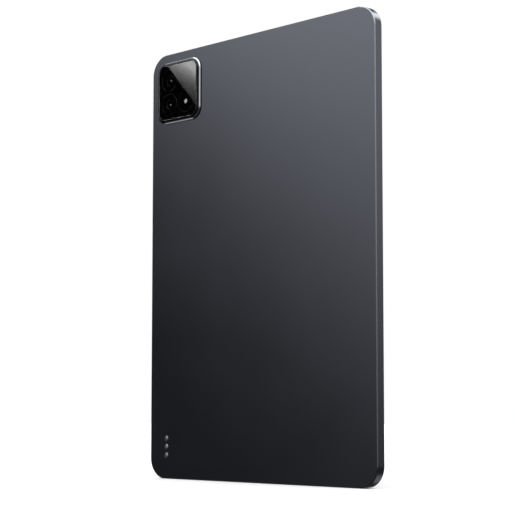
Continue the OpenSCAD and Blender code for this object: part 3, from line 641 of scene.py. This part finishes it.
def build_island():
    # Insets from the outline; heights of both steps over the back, and the collar's end inside it
    bevel, tier, recess, collar = 0.6, 1.6, 2.05, 2.8
    foot, step, collar_end = 0.6, 1.2, 0.9
    points = [(recess, RING_FLOOR_Z), (recess, ISLAND_TOP), (tier, ISLAND_TOP), (tier, -step),
              (bevel, -step), (0, -foot), (0, 0), (collar, 0), (collar, collar_end)]
    radii = [0, 0.06, 0.2, 0.12, 0.06, 0.06, 0, 0, 0]
    profile = fillet(points, radii, 4)
    looks = []
    for a, b in zip(profile, profile[1:]):
        run, rise = abs(a[0] - b[0]), abs(a[1] - b[1])
        is_bevel = abs(run - rise) < 0.05 and run > 0.3
        looks.append(1 if is_bevel else 0)
    shape = Shape().swept(ISLAND_AT, ISLAND_W, ISLAND_W, ISLAND_R, profile, looks)
    obj = shape.object("camera_ring_metal")
    pockets, holes = Shape(), Shape()
    ceiling, gap, inside = RING_FLOOR_Z + 0.6, 0.1, 2
    for node, spot, hole_r in (("main_camera_housing", "main", 4.6),
                               ("second_camera_housing", "second", 3.9)):
        b = node_box(node)
        pockets.box((b[0].x - gap, b[0].y - gap, ceiling), (b[1].x + gap, b[1].y + gap, inside))
        holes.lathe(LENS_SPOTS[spot], [(hole_r, ISLAND_TOP), (hole_r, ceiling + 0.1)])
    flash_r = 2.6
    holes.lathe(LENS_SPOTS["flash"], [(flash_r, ISLAND_TOP), (flash_r, inside)])
    # Each can's pocket meets its round hole, so the holes are cut after the pockets
    combine(obj, pockets, "DIFFERENCE")
    combine(obj, holes, "DIFFERENCE")
    finished(obj, [LOOK["island_metal"], LOOK["island_bevel"]],
             nodes=["camera_ring"])


def build_camera_glass():
    b = node_box("camera_glass")
    w, edge, lift = size(b).x, 0.14, 0.02
    profile = fillet([(FAR, b[0].z), (0, b[0].z), (0, b[1].z - lift), (FAR, b[1].z - lift)],
                     [0, edge, 0.05, 0], 5)[1:-1]
    shape = Shape().swept(middle(b), w, w, WINDOW_R, profile)
    finished(shape.object("camera_window"), [LOOK["camera_glass"]],
             nodes=["camera_glass"])


def build_mask():
    """Black film with a hole for each lens ring, and in each hole a thin ring round a disc."""
    b = node_box("camera_mask")
    w, z0, z1, gap = size(b).x, b[0].z, b[1].z, 0.01
    sheet = Shape().swept(middle(b), w, w, MASK_R, [(0, z0), (0, z1)]).object("camera_mask_film")
    tools = Shape()
    for spot in LENS_SPOTS.values():
        tools.lathe(spot, [(RING_R + gap, z0 - 1), (RING_R + gap, z1 + 1)])
    combine(sheet, tools, "DIFFERENCE")
    finished(sheet, [LOOK["black_film"]], nodes=["camera_mask"])
    discs, rings = Shape(), Shape()
    disc_r, ring_mid, round_by, arc = RING_R - RING_WIDTH, RING_R - RING_WIDTH / 2, 0.02, 6
    for name, spot in LENS_SPOTS.items():
        inner = WINDOWS[name]
        if inner:
            line = fillet([(inner, z1), (inner, z0), (disc_r, z0), (disc_r, z1)], [0, 0.04, 0, 0], 3)
            discs.lathe(spot, line, wrap=True)
        else:
            discs.lathe(spot, [(disc_r, z0), (disc_r, z1)])
        crown = [(disc_r + gap, z1), (disc_r + gap, z0 + 0.03)]
        for k in range(arc + 1):
            a = math.pi * k / arc
            crown.append((ring_mid - (RING_WIDTH / 2 - round_by) * math.cos(a),
                          z0 + round_by - round_by * math.sin(a)))
        crown += [(RING_R - gap, z0 + 0.03), (RING_R - gap, z1)]
        rings.lathe(spot, crown, wrap=True)
    finished(discs.object("lens_discs"), [LOOK["black_film"]])
    finished(rings.object("lens_ring_set"), [LOOK["ring_metal"]],
             nodes=["lens_rings"])


def dome_line(r, z_edge, rise):
    """Line of (radius, z) from the edge of a dome to just beside its middle."""
    ball = (r * r + rise * rise) / (2 * rise)
    top = math.asin(r / ball)
    line, steps = [], 10
    for i in range(steps + 1):
        a = top * (1 - i / steps)
        line.append((max(ball * math.sin(a), TIP_R), z_edge - (ball * math.cos(a) - (ball - rise))))
    return line


def build_inside(name, front, body):
    """Front element, the stop behind it and the small curved lens in its middle."""
    node = {"main": "main_lens_glass", "second": "second_camera_lens"}[name]
    spot, glass, pupil = LENS_SPOTS[name], node_box(node), 0.5
    r, z0, z1 = size(glass).x / 2, glass[0].z, glass[1].z
    rise, thick, gap, count, step, border = 0.16, 0.22, 0.04, 7, 0.045, 0.3
    front_part = [(r, z0 + thick), (r, z0 + rise)] + dome_line(r, z0 + rise, rise)
    finished(Shape().lathe(spot, front_part).object(front), [LOOK["lens_glass"]],
             body, [node], 50)
    # Stop with steps down to its small opening
    stop_z, slant = z0 + thick + gap, 0.03
    line = [(r, z1), (r, stop_z)]
    for k in range(count):
        x, z = r - border - (r - border - pupil) * k / count, stop_z + step * k
        line += [(x, z), (x - slant, z + step)]
    low = stop_z + step * count
    line += [(pupil, low), (pupil, z1)]
    finished(Shape().lathe(spot, line, wrap=True).object(name + "_lens_stop"),
             [LOOK["lens_stop"]], body, smooth=25)
    bead_r, bead_rise = pupil - 0.01, 0.3
    bead = [(bead_r, z1 - 0.02), (bead_r, low)] + dome_line(bead_r, low, bead_rise)
    finished(Shape().lathe(spot, bead, steps=64).object(name + "_inner_lens"),
             [LOOK["inner_lens"]], body, smooth=50)


def build_main_camera():
    can = node_box("main_camera_housing")
    spot, b = LENS_SPOTS["main"], node_box("main_lens_barrel")
    # Barrel with a stepped hood and fine baffle grooves
    front, back, outer = b[0].z, b[1].z, size(b).x / 2
    hood, bore, edge, groove, pitch, grooves = 3.25, 2.9, 0.1, 0.05, 0.1, 4
    line = [(outer, back), (outer, front + 0.12), (outer - edge, front), (hood + groove, front)]
    for k in range(grooves):
        z = front + pitch * (k + 0.5)
        line += [(hood, z - groove), (hood + groove, z)]
    line += [(hood, front + 0.4), (bore + 0.02, front + 0.42), (bore, front + 0.46), (bore, back)]
    barrel = Shape().lathe(spot, line, wrap=True)
    finished(barrel.object("focus_barrel"), [LOOK["camera_can"]], "focus_lens",
             ["main_lens_barrel"], 25)
    build_inside("main", "front_element", "focus_lens")
    # Can, with its opening for the barrel and its pocket for the sensor
    case = Shape().box(can[0], can[1], edge=0.12).object("main_camera_can")
    tools, barrel_gap, margin = Shape(), 0.08, 0.4
    barrel_end, bottom = back + 0.1, can[1].z - 0.5
    tools.lathe(spot, [(outer + barrel_gap, can[0].z - 1), (outer + barrel_gap, barrel_end)])
    sensor = node_box("main_image_sensor")
    tools.box((sensor[0].x - margin, sensor[0].y - margin, barrel_end - 0.1),
              (sensor[1].x + margin, sensor[1].y + margin, bottom))
    combine(case, tools, "DIFFERENCE", overlapping=True)
    finished(case, [LOOK["camera_can"]], nodes=["main_camera_housing"])


def build_second_camera():
    spot, can = LENS_SPOTS["second"], node_box("second_camera_housing")
    z0 = node_box("second_camera_lens")[0].z
    snout_z, base_z, bore, snout = can[0].z, 0.2, 2.4, 3.6
    case = Shape().box((can[0].x, can[0].y, base_z), can[1], edge=0.1)
    case = case.object("second_camera_can")
    combine(case, Shape().lathe(spot, fillet([(snout, base_z + 0.2), (snout, snout_z), (1, snout_z)],
                                             [0, 0.1, 0], 3)), "UNION")
    # Stepped funnel, then the bore down to the sensor
    mouth, step, steps, bore_end = bore + 0.35, 0.06, 5, 2.2
    cut = [(bore + 0.6, snout_z - 0.5)]
    for k in range(steps):
        z = snout_z + step * k
        cut += [(mouth - step * k, z), (mouth - step * k, z + step)]
    cut += [(bore, z0 + 0.1), (bore, bore_end)]
    combine(case, Shape().lathe(spot, cut), "DIFFERENCE")
    finished(case, [LOOK["camera_can"]], nodes=["second_camera_housing"], smooth=25)
    build_inside("second", "second_front_element", TABLET)


def build_flash():
    b = node_box("flash_lens")
    spot, r, z0, z1 = LENS_SPOTS["flash"], size(b).x / 2, b[0].z, b[1].z
    # Stepped rings of a flat lens round its plain middle, then the open back
    pitch, count, border, groove, mid_r = 0.22, 9, 0.12, 0.09, 0.2
    front = [(r, z1), (r, z0 + 0.08), (r - 0.08, z0)]
    for k in range(count):
        out = r - border - k * pitch
        front += [(out, z0), (out - 0.03, z0 + groove), (out - pitch + 0.01, z0 + 0.005)]
    hollow_r, hollow_z = r - 0.7, -0.5
    profile = [(mid_r, z0)] + front[::-1] + [(hollow_r, z1), (hollow_r, hollow_z), (mid_r, hollow_z)]
    finished(Shape().lathe(spot, profile).object("flash_window"), [LOOK["flash_lens"]],
             nodes=["flash_lens"], smooth=25)


# ---------------- contacts, keys, socket


def build_contacts():
    """Dished pads in their carrier, whose lip hides the gap round each pad."""
    pads, dish_r, dish, rim = Shape(), 1.12, 0.12, 0.27
    for b in solids("keyboard_contacts"):
        r, face, edge = size(b).x / 2, b[0].z, 0.05
        line = [(r, b[1].z), (r, face + rim + edge), (r - edge, face + rim), (dish_r, face + rim)]
        pads.lathe(middle(b), line + dome_line(dish_r, face + dish, dish))
    finished(pads.object("keyboard_pads"), [LOOK["contact_metal"]],
             nodes=["keyboard_contacts"], smooth=30)
    carrier = node_box("contact_carrier")
    obj = Shape().box((carrier[0].x, carrier[0].y, FLOOR), carrier[1], edge=0.1).object("pad_carrier")
    bushes, bores = Shape(), Shape()
    for b in solids("keyboard_contacts"):
        r = size(b).x / 2
        bush_r, lip_r, bore_r = r + 0.22, dish_r + 0.02, r + 0.01
        bushes.lathe(middle(b), fillet([(bush_r, FLOOR + 0.4), (bush_r, 0), (1, 0)], [0, 0.05, 0], 3))
        bores.lathe(middle(b), [(lip_r + 0.65, -0.6), (lip_r, 0.05), (lip_r, 0.24),
                                (bore_r, 0.25), (bore_r, 5)])
    combine(obj, bushes, "UNION")
    combine(obj, bores, "DIFFERENCE")
    finished(obj, [LOOK["black_plastic"]], nodes=["contact_carrier"])


def build_key(node, body, place):
    """Key with a softly crowned face and a cut edge, its flange and its stem."""
    u, long, z = key_spot(node, place)
    face_w, proud, edge, stem_w = long - 2 * KEY_FLANGE, 0.35, 0.14, 1.6
    flange = WALL + 0.04
    face = slot_at(u, z, face_w, KEY_H, 96)
    back = slot_at(u, z, long, KEY_H + 0.6, 64)
    stem = slot_at(u, z, stem_w, stem_w, 32)
    crown = [(-proud, -edge - 0.55), (-proud + 0.012, -edge - 0.25), (-proud + 0.03, -edge)]
    key = Shape().pushed(face, crown + [(-proud + edge, 0), (flange, 0)], place, [0, 0, 1, 0])
    obj = key.object(body + "_cap")
    combine(obj, Shape().pushed(back, [(flange - 0.01, -0.05), (flange + 0.04, 0), (flange + 0.55, 0)],
                                place), "UNION")
    combine(obj, Shape().pushed(stem, [(flange + 0.3, 0), (flange + 1.0, 0), (flange + 1.05, -0.05)],
                                place), "UNION")
    finished(obj, [LOOK["key_metal"], LOOK["key_edge"]], body, [node], 28)


def build_socket():
    b = node_box("usb_port_shell")
    w, h, z, y0, y1, t = size(b).x, size(b).z, middle(b).z, b[0].y, b[1].y, 0.3
    # Folded shell: round lip, straight wall, closed back
    line = [(y1, 0), (y0 + 0.12, 0), (y0 + 0.03, -0.04), (y0, -0.12), (y0 + 0.02, -t + 0.06),
            (y0 + 0.1, -t), (y1 - 0.4, -t)]
    shell = Shape().pushed(slot_at(0, z, w, h, 96), line, from_bottom)
    finished(shell.object("socket_shell"), [LOOK["socket_steel"]],
             nodes=["usb_port_shell"], smooth=30)
    # Thin blade of the tongue on its thicker root
    tongue = node_box("usb_port_tongue")
    front, root, half = tongue[0].y, tongue[1].y, 0.35
    blade_x, root_x, root_half, root_l = 3.345, 3.7, 0.95, 1.2
    blade = Shape().box((-blade_x, front, z - half), (blade_x, root - 1.0, z + half), edge=0.09)
    obj = blade.object("socket_tongue")
    combine(obj, Shape().box((-root_x, root - root_l, z - root_half), (root_x, root, z + root_half),
                             edge=0.08), "UNION")
    finished(obj, [LOOK["black_plastic"]], nodes=["usb_port_tongue"])
    # Contacts on both faces of the blade; the power contacts start nearer its front
    pads, count, pitch, pad_half = Shape(), 12, 0.5, 0.13
    for side in (-1, 1):
        face = z + side * half
        for i in range(count):
            x = (i - (count - 1) / 2) * pitch
            reach = 0.35 if i in (0, 3, 8, 11) else 0.75
            lo, hi = sorted((face - side * 0.03, face + side * 0.02))
            pads.box((x - pad_half, front + reach, lo), (x + pad_half, root - 1.3, hi), edge=0.008)
    finished(pads.object("socket_pads"), [LOOK["gold_contact"]])


# ---------------- sound


def build_meshes():
    """Woven wires behind the speaker holes."""
    wires = Shape()
    pitch, thick, swing = 0.4, 0.055, 0.06
    for b in solids("speaker_meshes"):
        mid = middle(b)
        rows, columns = int(size(b).z / pitch), int(size(b).x / pitch)
        x0, z0 = mid.x - (columns - 1) * pitch / 2, mid.z - (rows - 1) * pitch / 2
        for r in range(rows):
            line, z = [], z0 + r * pitch
            for c in range(columns + 1):
                x = x0 + (c - 0.5) * pitch
                line.append((x, mid.y, z))
                if c < columns:
                    line.append((x + pitch / 2, mid.y + swing * (-1) ** (r + c), z))
            tube(wires, line, thick)
        for c in range(columns):
            line, x = [], x0 + c * pitch
            for r in range(rows + 1):
                z = z0 + (r - 0.5) * pitch
                line.append((x, mid.y, z))
                if r < rows:
                    line.append((x, mid.y - swing * (-1) ** (r + c), z + pitch / 2))
            tube(wires, line, thick)
    finished(wires.object("woven_meshes"), [LOOK["steel_mesh"]],
             nodes=["speaker_meshes"], smooth=60)


def tube(shape, line, r):
    """Wire of five sides along a line in a plane of constant x or z."""
    across = Vector((1, 0, 0)) if abs(line[0][0] - line[-1][0]) < MERGE else Vector((0, 0, 1))
    rings, sides = [], 5
    for i, p in enumerate(line):
        along = Vector(line[min(i + 1, len(line) - 1)]) - Vector(line[max(i - 1, 0)])
        other = along.cross(across).normalized()
        turns = [2 * math.pi * k / sides for k in range(sides)]
        rings.append([Vector(p) + r * (math.cos(a) * across + math.sin(a) * other) for a in turns])
    shape.loft(rings)


# ---------------- screen


def build_screen():
    b, lcd = node_box("cover_glass"), node_box("lcd_panel")
    w, l, z0, z1 = size(b).x, size(b).y, b[0].z, b[1].z
    panel = (size(lcd).x, size(lcd).y, 1.0)
    lift, glass_r = 0.01, 9.9
    top = fillet([(FAR, z1), (0, z1), (0, z0 + lift), (FAR, z0 + lift)], [0, 0.25, 0.06, 0], 8)[1:-1]
    rings = [[(x, MID[1] + y, z) for x, y in round_square(w, l, glass_r, -inset)] for inset, z in top]
    # The bonding layer over the panel is one clear body with the glass
    for z in (z0 + lift, lcd[1].z + lift):
        rings.append([(x, middle(lcd).y + y, z) for x, y in round_square(*panel)])
    finished(Shape().loft(rings).object("front_glass"), [LOOK["cover_glass"]],
             nodes=["cover_glass", "glass_adhesive"], smooth=30)

    # Frame round the glass, with a ledge under it that reaches just over the panel's edge
    frame_box = node_box("bezel_frame")
    f0, f1, soft, reach = frame_box[0].z, frame_box[1].z, 0.05, -0.03
    outside = (size(frame_box).x, size(frame_box).y, 10.35)
    seat = (w + 0.1, l + 0.1, 9.95)
    rings = [
        [(x, MID[1] + y, z) for x, y in round_square(*plan, -inset)]
        for plan, inset, z in [
            (outside, 0, f0), (outside, 0, f1 - soft), (outside, soft, f1),
            (seat, -soft, f1), (seat, 0, f1 - soft), (seat, 0, z0), (panel, reach, z0),
            (panel, reach, f0),
        ]
    ]
    obj = Shape().loft(rings, wrap=True).object("screen_frame")
    eye, sensor = node_box("front_camera"), node_box("light_sensor")
    eye_x = HOUSING[1].x - 4.35
    holes = Shape()
    for y, r in ((middle(eye).y, 1.7), (middle(sensor).y, 0.9)):
        holes.lathe((eye_x, y), [(r, 4), (r, 7)])
    combine(obj, holes, "DIFFERENCE")
    finished(obj, [LOOK["bezel_plastic"]], nodes=["bezel_frame"])

    # Front camera: block, stepped snout and a small domed element
    at, body_top, top_z = (eye_x, middle(eye).y), 3.9, eye[1].z - 0.05
    side_x = eye[1].x if eye[1].x < eye_x + 1.55 else eye_x + 1.5
    case = Shape().box(eye[0], (side_x, eye[1].y, body_top), edge=0.1).object("front_camera_case")
    snout_r, edge = 1.6, 0.05
    snout = [(snout_r, body_top - 0.2), (snout_r, top_z - edge), (snout_r - edge, top_z)]
    combine(case, Shape().lathe(at, snout), "UNION")
    mouth, seat_z, seat_r, bore = 1.3, top_z - 0.3, 0.95, 0.8
    cone = [(mouth, top_z + 0.3), (mouth, top_z), (seat_r, top_z - 0.25), (seat_r, seat_z),
            (bore, seat_z), (bore, top_z - 0.9)]
    combine(case, Shape().lathe(at, cone), "DIFFERENCE")
    finished(case, [LOOK["camera_can"]], nodes=["front_camera"], smooth=25)
    r, edge_z = bore - 0.02, top_z - 0.5
    line = [(r, top_z - 0.85), (r, edge_z)]
    line += [(x, 2 * edge_z - z) for x, z in dome_line(r, edge_z, 0.18)]
    finished(Shape().lathe(at, line).object("front_camera_element"),
             [LOOK["lens_glass"]], smooth=50)


# ---------------- everything else


def paint_nodes():
    """Gives every CAD node that still shows its slot's material."""
    slot_of = {s["node"]: s["material_slot"] for s in frame["record"]["subparts"]}
    for name, obj in frame["nodes"].items():
        look = LOOK[slot_of[name]]
        if not obj.material_slots:
            obj.data.materials.append(look)
        for place in obj.material_slots:
            place.link = "OBJECT"
            place.material = look


# Studio light. Angles are in degrees, and directions point from the tablet to the light.
# The dome brightens from one height to another
DOME_FROM, DOME_TO, DOME_POWER = -13.385, 56.615, 5.088
# Over the screen side it is dimmer by a share that grows with the height
FRONT_FROM, FRONT_TO = 0.45, 0.68
DIM_FROM, DIM_TO, DIM_LOW, DIM_MORE = 7.0, 30.0, 0.18, 0.62
BASE_POWER = 0.072
# The dome ends at a slanted edge, which the camera glass shows
SLANT, SLANT_WIDTH = (-0.63869, 0.49848, 0.58617), 0.0008
# In a cone about FALL_AT the dome gives way to e to the power of slope and level, up to a cap
FALL, FALL_LEVEL, FALL_AT = (-71.657, 34.351, 133.088), -1.834, (0.7208, 0.6579, 0.2183)
FALL_CAP, FALL_OUTER, FALL_INNER = 2.9, 4.6, 2.4
# Direction, outer and inner half angle, and strength
SOFTBOXES = [
    ((-0.13, -0.713, 0.67), 16, 4, 5.5),
    ((-0.203, -0.713, -0.672), 22, 6, 0.8),
    ((0.7208, 0.6579, 0.2), 24, 8, -0.068),
    ((0.70, 0.24, -0.70), 14, 6, 0.8),
    ((0.16, -0.97, 0.19), 15, 2, 0.6),
    ((0.0, -1.0, -0.05), 38, 6, 0.1),
    ((0.75, -0.55, -0.42), 24, 4, 0.5),
    ((-0.80, -0.45, -0.42), 20, 4, 0.4),
]


def build_world():
    """Soft studio: a dome that ends at a slanted edge, with a few softboxes."""
    world = bpy.data.worlds.new("studio")
    bpy.context.scene.world = world
    world.use_nodes = True
    tree = world.node_tree
    tree.nodes.clear()
    toward = add(tree, "TexCoord").outputs["Generated"]

    def math_node(operation, a, b=None):
        links, values = {}, {}
        for key, value in ((0, a), (1, b)):
            if isinstance(value, (int, float)):
                values[f"i{key}"] = value
            elif value is not None:
                links[key] = value
        return add(tree, "Math", links, {"operation": operation}, **values).outputs[0]

    def smooth(value, start, end):
        return add(tree, "MapRange", {"Value": value}, {"interpolation_type": "SMOOTHSTEP"},
                   i1=start, i2=end, i3=0.0, i4=1.0).outputs[0]

    def along(axis):
        made = add(tree, "VectorMath", {0: toward}, {"operation": "DOT_PRODUCT"})
        made.inputs[1].default_value = axis
        return made.outputs["Value"]

    def cone(axis, outer, inner):
        return smooth(along(axis), math.cos(math.radians(outer)), math.cos(math.radians(inner)))

    height = math_node("MULTIPLY", math_node("ARCSINE", along((0, 0, 1))), 180 / math.pi)
    dome = math_node("MULTIPLY", smooth(height, DOME_FROM, DOME_TO), DOME_POWER)
    front = smooth(along((0, -1, 0)), FRONT_FROM, FRONT_TO)
    dim = math_node("MULTIPLY", smooth(height, DIM_FROM, DIM_TO), DIM_MORE)
    dim = math_node("MULTIPLY", front, math_node("ADD", dim, DIM_LOW))
    dome = math_node("MULTIPLY", dome, math_node("SUBTRACT", 1.0, dim))
    fall = math_node("EXPONENT", math_node("ADD", along(FALL), FALL_LEVEL))
    fall = math_node("SUBTRACT", math_node("MINIMUM", fall, FALL_CAP), dome)
    fall = math_node("MULTIPLY", fall, cone(FALL_AT, FALL_OUTER, FALL_INNER))
    edge = smooth(along(SLANT), 0.0, SLANT_WIDTH)
    lit = math_node("MULTIPLY", math_node("ADD", dome, fall), edge)
    total = math_node("ADD", lit, BASE_POWER)
    for axis, outer, inner, power in SOFTBOXES:
        spot = cone(Vector(axis).normalized(), outer, inner)
        total = math_node("ADD", total, math_node("MULTIPLY", spot, power))
    light = add(tree, "Background", {"Strength": total}, Color=(1, 1, 1, 1))
    # The backdrop itself is plain white
    seen = add(tree, "Background", Color=(1, 1, 1, 1), Strength=1.0)
    mix = add(tree, "MixShader", {0: add(tree, "LightPath").outputs["Is Camera Ray"],
                                  1: light.outputs[0], 2: seen.outputs[0]})
    out = add(tree, "OutputWorld")
    tree.links.new(mix.outputs[0], out.inputs["Surface"])


def build_stage():
    # A round sheet, drawn 40 mm up and then lowered to just under the tablet
    radius, top, thick, gap = 3000, 40, 1, 0.1
    floor = Shape().swept((0, 0), 2 * radius, 2 * radius, radius, [(0, top), (0, top - thick)])
    floor = floor.object("floor")
    floor.data.transform(Matrix.Scale(MM, 4))
    floor.location.z = -(top + gap) * MM
    material, tree, bsdf = blank("pale_floor")
    tone = noise(tree, coords(tree), 0.02, 3.0)
    tree.links.new(mixed(tree, tone, (0.41, 0.41, 0.41, 1), (0.42, 0.42, 0.42, 1)),
                   bsdf.inputs["Base Color"])
    bsdf.inputs["Roughness"].default_value = 0.9
    floor.data.materials.clear()
    floor.data.materials.append(material)
    # The floor lies outside the reflections, which show the studio's dark lower half
    floor.visible_glossy = floor.visible_transmission = False


CAMERA_AT = (-0.553121, 0.566278, 0.041007)
CAMERA_FORWARD, CAMERA_UP = (0.696589, -0.712631, 0.083188), (-0.057771, 0.059858, 0.996534)
SENSOR_WIDTH, FOCAL_RATIO, CAMERA_SHIFT = 36.0, 2.78133, 0.06


def build_camera():
    data = bpy.data.cameras.new("camera")
    camera = bpy.data.objects.new("camera", data)
    bpy.context.scene.collection.objects.link(camera)
    bpy.context.scene.camera = camera
    forward = Vector(CAMERA_FORWARD).normalized()
    right = forward.cross(Vector(CAMERA_UP)).normalized()
    up = right.cross(forward)
    turn = Matrix((right, up, -forward)).transposed().to_4x4()
    camera.matrix_world = Matrix.Translation(CAMERA_AT) @ turn
    data.sensor_width = SENSOR_WIDTH
    data.lens = SENSOR_WIDTH * FOCAL_RATIO
    data.shift_y = CAMERA_SHIFT
    data.clip_start = 0.01


build_housing()
build_island()
build_camera_glass()
build_mask()
build_main_camera()
build_second_camera()
build_flash()
build_contacts()
for key_node, (key_body, key_place) in KEYS.items():
    build_key(key_node, key_body, key_place)
build_socket()
build_meshes()
build_screen()
paint_nodes()
build_world()
build_stage()
build_camera()

bpy.context.scene.view_settings.view_transform = "Standard"
